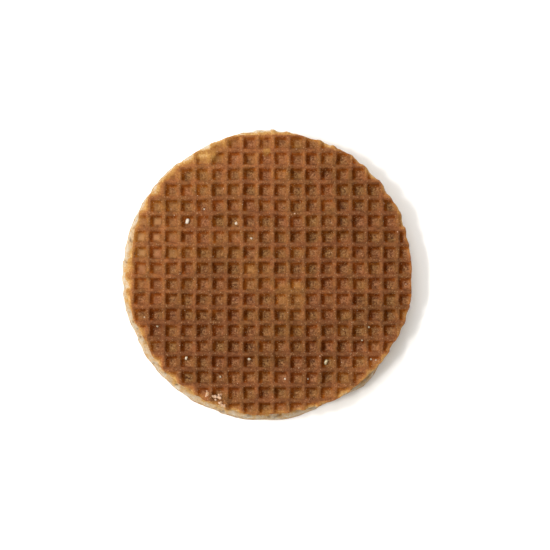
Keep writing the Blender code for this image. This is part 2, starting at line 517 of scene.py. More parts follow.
def patch_sums(away, patches, uneven=1.0, power=2):
    """For each share that the patches hold, the sum of those shares, each times a bell round its patch.

    The bell is e to minus a power of the distance in radii, so a higher power gives a flatter top.
    """
    total = 0.0
    for x, y, radius, *shares in patches:
        distance = np.hypot(away[..., 0] - x, away[..., 1] - y) / radius * uneven
        total = total + np.multiply.outer(shares, np.exp(-(distance**power)))
    return total


def spot_weights(away, spots):
    """The shares of gold and of smoothing at the spots: a flat-topped, uneven bell round each."""
    return np.clip(patch_sums(away, spots, 1.0 + waves(SPOT_OUTLINES, away), 4), 0.0, 1.0)


# ---------------------------------------------------------------- the baked face


class Face:
    """The baked grid of one half: where its ribs cross, its sizes, and where it baked pale or smooth."""

    def __init__(self, disc, grid, rim, spots):
        self.disc = disc
        self.grid = grid
        self.rim = rim
        self.spots = spots
        self.seed = disc.seed
        self.pitch = np.array(grid.pitch)
        self.crossing = disc.centre + np.array(grid.crossing)

    def cell(self, place):
        """Each place counted in cells from a crossing, and the whole numbers of its cell."""
        cell_place = (place - self.crossing) / self.pitch
        return cell_place, np.floor(cell_place)

    def own(self, kind, cell, number=0):
        """Each cell's own share of that kind."""
        return kind.least + (kind.greatest - kind.least) * hashed(cell, self.seed + kind.seed + number)

    def wobble(self, place):
        """The sideways drift of the ribs: soft noise along each axis, one broad and one fine."""
        drift = [
            waves(RIB_DRIFT, place, self.seed + axis) + waves(FINE_RIB_DRIFT, place, self.seed + axis)
            for axis in range(2)
        ]
        return np.stack(drift, axis=-1)

    def weights(self, place):
        """The shares of gold and of smoothing at each place, from the rim's arcs and the spots.

        The rim's follow partly the place itself and partly the middle of its cell, so whole pits fade.
        """
        away, angles, out = self.disc.polar(place)
        cell_out = self.disc.polar(self.crossing + (self.cell(place)[1] + 0.5) * self.pitch)[2]
        whole = self.grid.whole_pits
        inward = self.disc.edge(angles) - (1.0 - whole) * out - whole * cell_out
        return np.maximum(rim_weights(inward, angles, self.rim), spot_weights(away, self.spots))

    def pit_share(self, place):
        """0 on a rib's top and 1 on a pit's floor, for undrifted places: for both axes joined, and for each.

        Across each axis a straight wall joins the rib's flat top to the floor, blended with a smoothstep to
        round its top and foot. Soft noise makes its edges ragged. The two axes join as a blend of their
        least and their product, which rounds the pit's corners. Every cell has its own four wall widths.
        """
        cell_place, cell = self.cell(place)
        ragged = self.grid.raggedness * waves(RAGGED_WALLS, place, self.seed)
        axes = []
        for axis in range(2):
            from_low = (cell_place[..., axis] - cell[..., axis]) * self.pitch[axis]
            from_high = self.pitch[axis] - from_low
            sides = []
            for number, distance in enumerate((from_low, from_high)):
                slant = self.grid.wall_slant if number == axis else -self.grid.wall_slant
                stretch = self.own(WALL_STRETCH, cell, 2 * axis + number) + slant
                way = distance - self.grid.rib_width / 2 + ragged
                ramp = np.clip(way / (self.grid.wall_width[axis] * stretch), 0.0, 1.0)
                sides.append((1.0 - self.grid.wall_rounding) * ramp + self.grid.wall_rounding * eased(ramp))
            axes.append(np.minimum(*sides))
        return (1.0 - CORNER_ROUNDING) * np.minimum(*axes) + CORNER_ROUNDING * axes[0] * axes[1], axes

    def sink(self, place):
        """How far the face lies below the half's full height, the pit share and the share of a rib along X.

        Depth times pit share, less where the iron's plates stood apart (with the square of the radius), the
        rim thinned or a spot stayed smooth. Added to that: the ribs' uneven tops, the drop of the ribs along
        X, uneven floors, fine blisters, and pinholes left by steam. Nothing stands above the full height.
        """
        out = self.disc.polar(place)[2] / self.disc.radius
        share, (past_rib, past_cross_rib) = self.pit_share(place)
        smooth = self.weights(place)[1]
        depth = self.grid.pit_depth * self.own(CELL_DEPTH, self.cell(place)[1])
        depth = (depth - self.grid.shallower_at_edge * out**2) * (1.0 - smooth)
        crest = RIB_TOPS.height + waves(RIB_TOPS, place, self.seed)
        nicks = NICK_DEPTH * eased(waves(NICKS, place, self.seed) - NICK_THRESHOLD)
        wrinkles = waves(WRINKLES, place * WRINKLE_STRETCH, self.seed)
        floor = waves(PIT_FLOORS, place, self.seed)
        lowered = self.grid.cross_rib_drop * past_rib * (1.0 - past_cross_rib) * (1.0 - smooth)
        face = depth * share + (1.0 - share) * (crest + nicks + wrinkles) + share * floor
        face = face + lowered + waves(BLISTERS, place, self.seed) + pores(PINHOLES, place, self.seed)
        return np.maximum(face, 0.0), share, 1.0 - past_cross_rib

    def browning(self, place, share, cross_rib):
        """How brown the crust is, from 0 (crumb) to 1 (darkest): patches, partly painted light, cells, pale
        rim and spots.
        """
        gold = self.weights(place)[0] * (GOLD_ON_RIBS + (1.0 - GOLD_ON_RIBS) * share)
        blotch = waves(BLOTCHES, place, self.seed)
        tone = CRUST_TONE + waves(BAKED_PATCHES, place, self.seed) + BLOTCH_TONE * blotch
        tone = tone + self.own(CELL_TONE, self.cell(place)[1]) * share
        tone = tone + self.grid.cross_rib_browning * cross_rib
        # broad tones: partly uneven baking and partly painted light, paler towards -X and +Y where the
        # lights stand
        tone = tone + patch_sums(self.disc.polar(place)[0], BROAD_TONES_AND_PAINTED_LIGHT)[0]
        return np.clip(tone - GOLD_PALENESS * gold * (1.0 + BLOTCHES_IN_GOLD * blotch), 0.0, 1.0)

    def hue(self, place, share, cross_rib):
        """Which way the colour leans, from 0 (reddish) to 1 (olive).

        Each pit leans its own way, soft noise varies it, the ribs along X are redder and smooth spots olive.
        """
        in_pit = np.clip(share / PIT_HUE_FROM, 0.0, 1.0)
        lean = in_pit * self.own(CELL_HUE, self.cell(place)[1])
        lean = lean + waves(HUE_DRIFT, place, self.seed) - CROSS_RIB_REDNESS * cross_rib
        golden = np.minimum(SPOT_OLIVE * spot_weights(self.disc.polar(place)[0], self.spots)[1], 1.0)
        return (EVEN_HUE + lean + waves(HUE_PATCHES, place, self.seed)) * (1.0 - golden) + golden

    def scorch(self, place):
        """Painted shade: how much darker and redder each pit is beside its walls at -X and, less so, at +Y.

        Those walls face away from the lights, and this stands in for their shadow. Each falls from its share
        to 0 by a smoothstep of the distance from that wall's rib.
        """
        cell_place, cell = self.cell(place)
        darkest = np.zeros(place.shape[:-1])
        for axis, high_side, start, fade, share in PAINTED_SHADE_WALLS:
            way = cell_place[..., axis] - cell[..., axis]
            way = (1.0 - way if high_side else way) * self.pitch[axis] - self.grid.rib_width / 2
            darkest = np.maximum(darkest, share * (1.0 - eased((way - start) / fade)))
        return darkest

    def pale_floor(self, place, share):
        """How pale each pit's floor is: a bell round each pale place, times each cell's own share.

        It starts only well down the pit's walls, and is nearly none beside the painted shade.
        """
        pale = patch_sums(self.disc.polar(place)[0], PALE_FLOORS)[0]
        pale = pale * self.own(CELL_PALENESS, self.cell(place)[1])
        beside_painted_shade = 1.0 - (1.0 - PALE_BESIDE_PAINTED_SHADE) * self.scorch(place)
        return np.clip(pale, 0.0, 1.0) * eased((share - PALE_FROM) / (1.0 - PALE_FROM)) * beside_painted_shade


def swell(points):
    """Lifts points by up to a twentieth of their height, in broad soft waves, as baking swelled the whole.

    A small even sag keeps the whole within its solids' height.
    """
    swelled = points.copy()
    swelled[..., 2] *= 1.0 + waves(SWELLING, points[..., :2]) - SAG
    return swelled


# ---------------------------------------------------------------- meshes


def make_mesh(name, points, quads, triangles=None, uv=None, attributes=None, faceted=False):
    """An object of whole arrays: points, four- and three-cornered faces, a map, point values.

    It is shaded smooth, or flat if it is faceted.
    """
    loops = quads.ravel()
    sides = np.full(len(quads), 4)
    if triangles is not None:
        loops = np.concatenate([loops, triangles.ravel()])
        sides = np.concatenate([sides, np.full(len(triangles), 3)])
    mesh = bpy.data.meshes.new(name)
    mesh.vertices.add(len(points))
    mesh.loops.add(len(loops))
    mesh.polygons.add(len(sides))
    mesh.vertices.foreach_set("co", points.astype(np.float32).ravel())
    mesh.loops.foreach_set("vertex_index", loops.astype(np.int32))
    mesh.polygons.foreach_set("loop_start", (np.cumsum(sides) - sides).astype(np.int32))
    if uv is not None:
        mesh.uv_layers.new(name="OFBake").data.foreach_set("uv", uv.astype(np.float32).ravel())
    for label, values in (attributes or {}).items():
        layer = mesh.attributes.new(label, "FLOAT", "POINT")
        layer.data.foreach_set("value", values.astype(np.float32))
    mesh.update(calc_edges=True)
    if not faceted:
        mesh.shade_smooth()
    piece = bpy.data.objects.new(name, mesh)
    bpy.context.scene.collection.objects.link(piece)
    return piece


def finish_piece(piece, slot, material, *nodes):
    """Gives a piece its body and material, and hides the solids that it stands for. Its slot is not used."""
    if nodes:
        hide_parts(*nodes)
    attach(piece, BODY)
    piece.data.materials.append(material)


def cell_corners(grid):
    """The values of a grid at the four corners of each of its cells, in order round the cell."""
    return np.stack([grid[:-1, :-1], grid[1:, :-1], grid[1:, 1:], grid[:-1, 1:]], axis=-1)


def open_edges(quads, count):
    """The directed edges that no other face uses the other way round."""
    start = quads.ravel()
    end = np.roll(quads, -1, axis=1).ravel()
    lone = ~np.isin(start.astype(np.int64) * count + end, end.astype(np.int64) * count + start)
    return start[lone], end[lone]


def spaced_rim(face, plain, drifted, quads):
    """Moves the rim's points along the edge: each pass takes them halfway to between their neighbours."""
    start, end = open_edges(quads, len(plain))
    after = np.zeros(len(plain), int)
    before = np.zeros(len(plain), int)
    after[start] = end
    before[end] = start
    rim = np.unique(start)
    angles = face.disc.polar(drifted)[1]
    for _ in range(RIM_PASSES):
        ahead = short_way(angles[after[rim]] - angles[rim])
        behind = short_way(angles[before[rim]] - angles[rim])
        angles[rim] += (ahead + behind) / 4
    moved = face.disc.centre + rays(angles[rim]) * face.disc.edge(angles[rim])[:, None]
    plain[rim] += moved - drifted[rim]
    drifted[rim] = moved


def trimmed_grid(face):
    """The baked face's places and quads, cut to the outline.

    The grid's lines follow the cells, drawn together at the ribs: cell place s moves to s less a sine of
    one wave a cell. Quads with a corner inside the edge stay, and corners outside it slide in to the edge.
    Returns the undrifted places, the drifted ones and the quads.
    """
    steps = face.grid.steps
    reach = math.ceil(face.disc.radius / min(face.pitch)) + SPARE_CELLS
    share = np.arange(-reach * steps, reach * steps + 1) / steps
    lines = share - face.grid.rib_focus / TURN * np.sin(TURN * share)
    across, along = np.meshgrid(lines, lines, indexing="ij")
    plain = face.crossing + np.stack([across, along], axis=-1) * face.pitch
    away, angles, radius = face.disc.polar(plain + face.wobble(plain))
    edge = face.disc.edge(angles)
    inside = radius < edge - TRIM_MARGIN * min(face.pitch) / steps
    number = np.arange(inside.size).reshape(inside.shape)
    kept = cell_corners(number)[cell_corners(inside).any(axis=-1)]
    used, quads = np.unique(kept, return_inverse=True)
    held = np.where(inside, 1.0, edge / radius)[..., None]
    drifted = (face.disc.centre + away * held).reshape(-1, 2)[used]
    plain = (plain + away * (held - 1.0)).reshape(-1, 2)[used]
    quads = quads.reshape(-1, 4)
    spaced_rim(face, plain, drifted, quads)
    return plain, drifted, quads


def drawn_in(face, plain, drifted, sink, thickness):
    """The baked face's points as drawn in at the rim: their rays, distances from the middle and sinks.

    The rim is rounded by the square of the nearness to it, times the edge drop, more where it is smooth.
    The distance is less by the undercut times the depth, times the square of a broader nearness.
    """
    grid = face.grid
    away, angles, radius = face.disc.polar(drifted)
    inward = face.disc.edge(angles) - radius
    smooth = face.weights(plain)[1]
    near = np.clip(1.0 - inward / grid.drawn_in_breadth, 0.0, 1.0)
    rounding = np.clip(1.0 - inward / (grid.edge_rounding * (1.0 + smooth)), 0.0, 1.0)
    sink = sink + grid.edge_drop * (1.0 + smooth) * rounding**2
    return away / radius[:, None], radius - grid.undercut * sink / thickness * near**2, sink


class CrumbSide:
    """The rows of points down a half's side and in over its cut face, as heights over the cut face.

    The side runs down from the rim at the rim's radius less the undercut times the depth below it,
    roughened by noise and hollowed by pores, both from nothing at the crust. The rows then turn in over the
    cut face, which is rough and hollowed too, up to its last row.
    """

    def __init__(self, face, ray, radius, rim_height, thickness, ledge_rows):
        grid = face.grid
        side = np.arange(1, grid.side_rows + 1) / grid.side_rows
        down = np.concatenate([side, np.ones(ledge_rows)])[:, None]
        ledge = np.arange(1, ledge_rows + 1) * grid.ledge_step
        self.inward = np.concatenate([np.zeros(grid.side_rows), ledge])
        inward = self.inward[:, None]
        height = rim_height * (1.0 - down)
        self.below_crust = rim_height - height
        foot = radius - grid.undercut * self.below_crust / thickness - inward
        rows = face.disc.centre + ray * foot[..., None]
        self.wall = np.concatenate([rows, height[..., None]], axis=-1)
        self.loose = eased(self.below_crust / FIRM_CRUST)
        self.torn = waves(TORN_CRUMB, self.wall, face.seed)
        on_side = inward == 0.0
        holes = np.maximum(*(pores(kind, self.wall, face.seed) for kind in SIDE_HOLES))
        large_holes = np.clip(pores(LARGE_HOLES, self.wall, face.seed), 0.0, 1.0)
        self.holes = np.maximum(np.where(on_side, holes, LEDGE_HOLE_SHARE * holes), large_holes)
        side_move = SIDE_ROUGHNESS * self.torn - SIDE_HOLE_DEPTH * self.holes
        ledge_move = LEDGE_ROUGHNESS * self.torn - LEDGE_HOLE_DEPTH * self.holes
        foot_move = FOOT_ROUGHNESS * self.torn - FOOT_ROUGHNESS
        up_move = np.where(on_side, np.where(down == 1.0, foot_move, 0.0), ledge_move)
        self.wall[..., :2] += ray * (np.where(on_side, side_move, 0.0) * self.loose)[..., None]
        self.wall[..., 2] -= up_move * (inward < inward.max())
        self.stains = waves(CRUMB_STAINS, self.wall, face.seed)


def side_faces(start, end, rim, row_count, count):
    """The quads from the baked face's rim down every row, and the fan that closes the last row to a pole.

    start and end are the rim's directed edges, and count is how many points the baked face has.
    """
    first = count + np.searchsorted(rim, start)
    second = count + np.searchsorted(rim, end)
    upper = np.stack([end, start, first, second], axis=-1)
    row = len(rim) * np.arange(row_count - 1)[:, None]
    next_row = row + len(rim)
    lower = np.stack([second + row, first + row, first + next_row, second + next_row], axis=-1)
    last = len(rim) * (row_count - 1)
    pole = np.full(len(first), count + len(rim) * row_count)
    fan = np.stack([second + last, first + last, pole], axis=-1)
    return np.concatenate([upper, lower.reshape(-1, 4)]), fan


def bake_map(disc, points, top, rim, ray, wall, quads, fan):
    """The map: the face as it lies, the side and the ledge as rings round it, the hidden fan in a corner.

    A ring lies as far outside the rim as the way travelled down the side to its row.
    """
    steps = np.diff(np.concatenate([top[rim][None], wall]), axis=0)
    travelled = np.cumsum(np.linalg.norm(steps, axis=-1), axis=0)
    rings = top[rim, :2] + ray[rim] * travelled[..., None]
    flat = np.concatenate([top[:, :2], rings.reshape(-1, 2), disc.centre[None, :]])
    flat = 0.5 + (flat - disc.centre) / (2.0 * MAP_MARGIN * (disc.radius + travelled.max()))
    fan_flat = FAN_PLACE + (points[:, :2] - disc.centre) / disc.radius * FAN_SIZE
    return np.concatenate([flat[quads.ravel()], fan_flat[fan.ravel()]])


def half_attributes(face, plain, share, cross_rib, rim, side):
    """What the crust's material reads at each point of a half: of its baked face, its side and its pole.

    On the side the rim's browning fades by a smoothstep, over the crust's thickness, to the crumb's own. The
    crumb is stained by the syrup further in over the ledge.
    """
    smooth = face.weights(plain)[1]
    brown_and_painted_light = face.browning(plain, share, cross_rib)
    stain = LEDGE_STAIN * eased(side.inward / STAIN_BREADTH)[:, None]
    crumb_brown = CRUMB_TONE + stain + side.stains - HOLE_PALENESS * side.holes
    crust_fade = eased(side.below_crust / (face.grid.crust_thickness * (1.0 + CRUST_UNEVENNESS * side.torn)))
    on_face = np.zeros(len(plain))
    off_face = np.zeros(side.holes.shape)
    parts = {
        "browning": (brown_and_painted_light, brown_and_painted_light[rim] * (1.0 - crust_fade) + crumb_brown * crust_fade, HIDDEN_TONE),
        "pit": (share * (1.0 - smooth), off_face, 0.0),
        "hue": (face.hue(plain, share, cross_rib), off_face + EVEN_HUE, EVEN_HUE),
        # painted shade: the pits darker beside their walls at -X and +Y, away from the lights
        "scorch": (face.scorch(plain), off_face, 0.0),
        "pale": (face.pale_floor(plain, share), off_face, 0.0),
        "crumb": (on_face, crust_fade, 1.0),
        # painted shade in the crumb's pores, on top of their hollows
        "pore": (on_face, side.holes * side.loose, 0.0),
    }
    return {
        name: np.concatenate([of_face, of_side.ravel(), [of_pole]])
        for name, (of_face, of_side, of_pole) in parts.items()
    }


def make_half(name, face, faces_up, ledge_rows):
    """A waffle half as one closed surface: its baked face, its side, its ledge and a fan over the cut face.

    All heights are worked out over the cut face: the baked face's is the half's thickness less the sink. A
    half that faces down is then turned over by taking its heights from its top, with its faces reversed.
    """
    disc = face.disc
    thickness = disc.high_z - disc.low_z
    plain, drifted, quads = trimmed_grid(face)
    sink, share, cross_rib = face.sink(plain)
    ray, radius, sink = drawn_in(face, plain, drifted, sink, thickness)
    top = np.column_stack([disc.centre + ray * radius[:, None], thickness - sink])
    start, end = open_edges(quads, len(top))
    rim = np.unique(start)
    side = CrumbSide(face, ray[rim], radius[rim], top[rim, 2], thickness, ledge_rows)
    side_quads, fan = side_faces(start, end, rim, len(side.wall), len(top))
    quads = np.concatenate([quads, side_quads])
    points = np.concatenate([top, side.wall.reshape(-1, 3), [[*disc.centre, 0.0]]])
    if faces_up:
        points[:, 2] = disc.low_z + points[:, 2]
    else:
        points[:, 2] = disc.high_z - points[:, 2]
        quads = quads[:, ::-1]
        fan = fan[:, ::-1]
    uv = bake_map(disc, points, top, rim, ray, side.wall, quads, fan)
    attributes = half_attributes(face, plain, share, cross_rib, rim, side)
    return make_mesh(name, swell(points), quads, fan, uv, attributes)


# ---------------------------------------------------------------- materials


# Sizes of the finishes' patterns, and heights of their fine relief
BLOTCH_SIZE = 2.4 * MM
SPECK_SIZE = 0.55 * MM
# spacing of the pale specks, partly the crust's own flecks and partly painted glints
SPECK_AND_GLINT_SPACING = 0.9 * MM
MOTTLING_SIZE = 0.65 * MM
SHEEN_SIZE = 1.6 * MM
WRINKLE_SIZE = 0.55 * MM
CRUST_GRAIN_SIZE = 0.45 * MM
CRUST_GRAIN_HEIGHT = 0.46 * MM
FLOW_SIZE = 3.2 * MM
SMEAR_SIZE = 1.1 * MM
SMEAR_HEIGHT = 0.1 * MM
CLOUD_SIZE = 0.5 * MM
CRUMB_MOTTLING_SIZE = 0.9 * MM
CRUMB_GRAIN_SIZE = 0.2 * MM
CRUMB_GRAIN_HEIGHT = 0.08 * MM
CARD_TONE_SIZE = 40.0 * MM
CARD_GRAIN_SIZE = 0.6 * MM
CARD_SHADE = 0.985  # the card's darkest tone, as a share of its colour
NOISE_RANGE = (0.3, 0.7)  # where most of a noise's values lie


def add_node(tree, kind, values=None, **settings):
    """A node of that kind with its settings, and each input given a value, a colour or a socket to join."""
    made = tree.nodes.new(kind)
    for name, value in settings.items():
        setattr(made, name, value)
    for name, value in (values or {}).items():
        if isinstance(value, bpy.types.NodeSocket):
            tree.links.new(value, made.inputs[name])
        elif made.inputs[name].type == "RGBA":
            made.inputs[name].default_value = (*value, 1.0)
        else:
            made.inputs[name].default_value = value
    return made


def spread(tree, value, low, high, to_low=0.0, to_high=1.0):
    """The socket of a value moved from one range to another, held at its ends."""
    values = {"Value": value, "From Min": low, "From Max": high, "To Min": to_low, "To Max": to_high}
    return add_node(tree, "ShaderNodeMapRange", values, clamp=True).outputs[0]


class Finish:
    """A material in the making, with short ways to add patterns to it, each of which returns a socket."""

    def __init__(self, name):
        self.material = bpy.data.materials.new(name)
        self.material.use_nodes = True
        self.tree = self.material.node_tree
        self.tree.nodes.clear()
        self.place = add_node(self.tree, "ShaderNodeTexCoord").outputs["Object"]

    def shaded(self, values):
        """Adds the one shader with those inputs, and returns the finished material."""
        shader = add_node(self.tree, "ShaderNodeBsdfPrincipled", values)
        add_node(self.tree, "ShaderNodeOutputMaterial", {"Surface": shader.outputs["BSDF"]})
        return self.material

    def point_value(self, name):
        """A value that the mesh holds at each point."""
        return add_node(self.tree, "ShaderNodeAttribute", attribute_name=name).outputs["Fac"]

    def noise(self, size, detail=2.0, roughness=0.5, place=None):
        """A noise whose features are about that size."""
        values = {"Vector": place or self.place, "Scale": 1.0 / size}
        values.update({"Detail": detail, "Roughness": roughness})
        return add_node(self.tree, "ShaderNodeTexNoise", values).outputs["Fac"]

    def spread(self, *values):
        """A value moved from one range to another, or to 0 and 1, held at its ends."""
        return spread(self.tree, *values)

    def between(self, noise, low, high):
        """A noise moved from its usual range to the one from low to high."""
        return spread(self.tree, noise, *NOISE_RANGE, low, high)

    def joined(self, operation, first, *others):
        """Values joined one after another by addition, multiplication or the greater of two."""
        for other in others:
            values = {0: first, 1: other}
            first = add_node(self.tree, "ShaderNodeMath", values, operation=operation).outputs[0]
        return first

    def mixed(self, share, first, second, blend="MIX"):
        """One colour laid over another by a share."""
        values = {0: share, MIX_A: first, MIX_B: second}
        made = add_node(self.tree, "ShaderNodeMix", values, data_type="RGBA", blend_type=blend)
        return made.outputs[MIX_RESULT]

    def bump(self, height, strength, distance):
        """A surface direction tilted by fine unevenness."""
        values = {"Height": height, "Strength": strength, "Distance": distance}
        return add_node(self.tree, "ShaderNodeBump", values).outputs["Normal"]


def baked_colour(finish, look, browning, blotches, crumb):
    """The crust's colour by how brown it baked, shifted by blotches and by specks, fewer on the crumb."""
    specks = finish.between(finish.noise(SPECK_SIZE, 2.0, 0.7), -0.16, 0.16)
    specks = finish.joined("MULTIPLY", specks, finish.spread(crumb, 0.0, 1.0, 1.0, 0.4))
    shift = finish.joined("ADD", finish.between(blotches, -0.11, 0.11), browning, specks)
    ramp = add_node(finish.tree, "ShaderNodeValToRGB", {"Fac": shift})
    stops = (
        (0.00, look.crumb_colour),
        (0.22, look.pale_gold_colour),
        (0.45, look.gold_colour),
        (0.64, look.pale_rib_colour),
        (0.80, look.rib_colour),
        (1.00, look.dark_colour),
    )
    while len(ramp.color_ramp.elements) < len(stops):
        ramp.color_ramp.elements.new(0.5)
    for stop, (position, colour) in zip(ramp.color_ramp.elements, stops):
        stop.position = position
        stop.color = (*colour, 1.0)
    return ramp.outputs["Color"]


def pit_colour(finish, look, colour, baked, pit, painted_shade_share):
    """That colour with the pits' own: painted shade by the walls at -X and +Y, greyer and mottled pale on
    the floors.
    """
    open_floor = finish.spread(painted_shade_share, 0.0, 1.0, 1.0, 0.0)
    floor_share = finish.joined("MULTIPLY", finish.spread(pit, 0.75, 1.0), baked, open_floor)
    mottling = finish.joined(
        "MULTIPLY",
        finish.spread(finish.noise(MOTTLING_SIZE, 3.0, 0.7), 0.40, 0.63, 0.0, 0.80),
        finish.spread(pit, 0.1, 0.8, 0.28, 1.0),
        finish.spread(painted_shade_share, 0.0, 0.6, 1.0, 0.0),
        baked,
    )
    mottling = finish.joined("MAXIMUM", mottling, finish.point_value("pale"))
    colour = finish.mixed(painted_shade_share, colour, look.painted_shade_tint, "MULTIPLY")
    colour = finish.mixed(floor_share, colour, look.floor_tint, "MULTIPLY")
    return finish.mixed(mottling, colour, look.mottling_colour)


def speckled_colour(finish, look, colour, crumb):
    """That colour with fine pale specks on the crust, partly painted glints, and painted shade in the
    crumb's pores and steam holes.
    """
    # pale specks: partly the crust's own flecks, partly painted glints on the ribs
    values = {"Vector": finish.place, "Scale": 1.0 / SPECK_AND_GLINT_SPACING}
    away = add_node(finish.tree, "ShaderNodeTexVoronoi", values).outputs["Distance"]
    specks = finish.joined(
        "MULTIPLY", finish.spread(away, 0.10, 0.26, 0.50, 0.0), finish.spread(crumb, 0.0, 1.0, 1.0, 0.3)
    )
    # painted shade in the pores, and in steam holes that are only painted
    pore = finish.spread(finish.point_value("pore"), 0.1, 0.9, 0.0, 0.66)
    steam_hole_shade = finish.joined("MULTIPLY", finish.spread(away, 0.16, 0.34, 0.25, 0.0), crumb)
    colour = finish.mixed(specks, colour, look.speck_and_glint_colour)
    colour = finish.mixed(pore, colour, look.pore_shade_colour, "MULTIPLY")
    return finish.mixed(steam_hole_shade, colour, look.pore_shade_colour, "MULTIPLY")


def crust_material(look):
    """Baked waffle: colour by how brown it baked, greyer pit floors, mottling, specks and crumb sides."""
    finish = Finish("baked_waffle")
    browning, pit, crumb, hue, scorch = (
        finish.point_value(name) for name in ("browning", "pit", "crumb", "hue", "scorch")
    )
    baked = finish.spread(browning, 0.3, 0.7)
    # painted shade of the pits' walls at -X and +Y, which also takes away their gloss
    painted_shade_share = finish.joined("MULTIPLY", finish.spread(pit, 0.02, 0.35), scorch, baked)
    blotches = finish.noise(BLOTCH_SIZE, 3.0, 0.6)
    colour = baked_colour(finish, look, browning, blotches, crumb)
    colour = pit_colour(finish, look, colour, baked, pit, painted_shade_share)
    hue = finish.joined("ADD", hue, finish.between(blotches, -0.20, 0.20))
    tint = finish.mixed(hue, look.pink_tint, look.olive_tint)
    colour = finish.mixed(baked, colour, tint, "MULTIPLY")
    colour = speckled_colour(finish, look, colour, crumb)

    sheen = finish.between(finish.noise(SHEEN_SIZE), -0.08, 0.08)
    rough = finish.joined("ADD", finish.spread(pit, 0.6, 1.0, 0.62, 0.47), sheen)
    rough = finish.joined("MAXIMUM", rough, finish.spread(crumb, 0.0, 1.0, 0.0, 0.85))
    values = {"Vector": finish.place, "Scale": (*WRINKLE_STRETCH, 1.0)}
    squeezed = add_node(finish.tree, "ShaderNodeMapping", values).outputs[0]
    wrinkle = finish.noise(WRINKLE_SIZE, place=squeezed)
    wrinkle = finish.joined("MULTIPLY", wrinkle, finish.spread(pit, 0.0, 0.5, 1.0, 0.2))
    fine = finish.joined("ADD", wrinkle, finish.noise(CRUST_GRAIN_SIZE, 3.0, 0.65))
    return finish.shaded({
        "Base Color": colour,
        "Roughness": rough,
        "Specular IOR Level": finish.spread(painted_shade_share, 0.0, 0.7, 0.13, 0.0),
        "Normal": finish.bump(fine, 1.0, CRUST_GRAIN_HEIGHT),
    })


def syrup_material(look):
    """Caramel syrup: dark amber and glossy, a little lighter where it is thin, with faint flow lines."""
    finish = Finish("caramel_syrup")
    flow = finish.spread(finish.noise(FLOW_SIZE), 0.35, 0.65)
    smear = finish.noise(SMEAR_SIZE)
    return finish.shaded({
        "Base Color": finish.mixed(flow, look.syrup_colour, look.thin_syrup_colour),
        "Roughness": finish.between(smear, 0.12, 0.30),
        "Normal": finish.bump(smear, 0.3, SMEAR_HEIGHT),
        "Coat Weight": 0.3,
        "Coat Roughness": 0.08,
    })


def sugar_material(look):
    """Sugar: near white and glossy, faintly cloudy."""
    finish = Finish("sugar")
    cloud = finish.noise(CLOUD_SIZE)
    tone = finish.joined("ADD", finish.point_value("tone"), finish.spread(cloud, 0.35, 0.7, -0.25, 0.25))
    return finish.shaded({
        "Base Color": finish.mixed(tone, look.sugar_colour, look.cloudy_sugar_colour),
        "Roughness": finish.between(cloud, 0.15, 0.40),
    })


def crumbs_material(look):
    """Loose crumbs: cream to light tan, dull and grainy."""
    finish = Finish("pale_crumbs")
    mottling = finish.spread(finish.noise(CRUMB_MOTTLING_SIZE), 0.35, 0.65, -0.3, 0.3)
    tone = finish.joined("ADD", finish.point_value("tone"), mottling)
    grain = finish.noise(CRUMB_GRAIN_SIZE)
    return finish.shaded({
        "Base Color": finish.mixed(tone, look.crumb_light_colour, look.crumb_tan_colour),
        "Roughness": finish.between(grain, 0.7, 0.9),
        "Normal": finish.bump(grain, 0.5, CRUMB_GRAIN_HEIGHT),
    })


def floor_material(look):
    """White card: very slightly uneven in tone, quite dull."""
    finish = Finish("white_card")
    shade = [CARD_SHADE * part for part in look.floor_colour]
    return finish.shaded({
        "Base Color": finish.mixed(finish.noise(CARD_TONE_SIZE), look.floor_colour, shade),
        "Roughness": finish.between(finish.noise(CARD_GRAIN_SIZE), 0.85, 0.95),
        "Specular IOR Level": 0.1,
    })


# ---------------------------------------------------------------- syrup, sugar and crumbs


def closed_rings(rings, around):
    """The quads between closed rings, and the fans that close their ends to two poles after them."""
    number = np.arange(rings * around).reshape(rings, around)
    beside = np.roll(number, -1, axis=1)
    quads = np.stack([number[:-1], beside[:-1], beside[1:], number[1:]], axis=-1).reshape(-1, 4)
    under = np.stack([beside[0], number[0], np.full(around, number.size)], axis=-1)
    over = np.stack([number[-1], beside[-1], np.full(around, number.size + 1)], axis=-1)
    return quads, np.concatenate([under, over])


def make_syrup(syrup):
    """The syrup as one closed surface: a bulging band round the waffle, closed above and below by fans.

    At each angle the radius is the outline's, drawn in a little, plus the bulge times a power of the sine of
    the share of the height, plus soft noise for runs and drops. Above and below, it sinks into both halves.
    """
    disc = Disc("syrup", SYRUP_BUMPS, (), SYRUP_SEED)
    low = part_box("wafer_bottom")[1][2] - syrup.overlap
    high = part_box("wafer_top")[0][2] + syrup.overlap
    angles = np.linspace(0.0, TURN, syrup.points_round, endpoint=False)
    angle, share = np.meshgrid(angles, np.linspace(0.0, 1.0, syrup.points_up))
    ray = rays(angle)
    runs = waves(SYRUP_RUNS, ray * disc.radius, disc.seed)
    ring = np.concatenate([ray * disc.radius, (share * (high - low))[..., None]], axis=-1)
    drops = waves(SYRUP_DROPS, ring, disc.seed)
    bulge = syrup.bulge * (MEAN_BULGE + BULGE_IN_RUNS * runs) * np.sin(math.pi * share) ** BULGE_SQUARENESS
    radius = disc.edge(angle) + bulge + SYRUP_RUN_REACH * runs + drops - SYRUP_DRAWN_IN
    height = low + (high - low) * share
    band = np.concatenate([disc.centre + ray * radius[..., None], height[..., None]], axis=-1)
    poles = np.array([[*disc.centre, low], [*disc.centre, high]])
    points = swell(np.concatenate([band.reshape(-1, 3), poles]))
    return make_mesh("syrup_layer", points, *closed_rings(syrup.points_up, syrup.points_round))


class LumpKind(NamedTuple):
    """A kind of small body: its rings, the points in each, how square and uneven it is, seed and facets."""

    rings: int
    around: int
    squareness: float
    unevenness: float
    seed: int
    faceted: bool


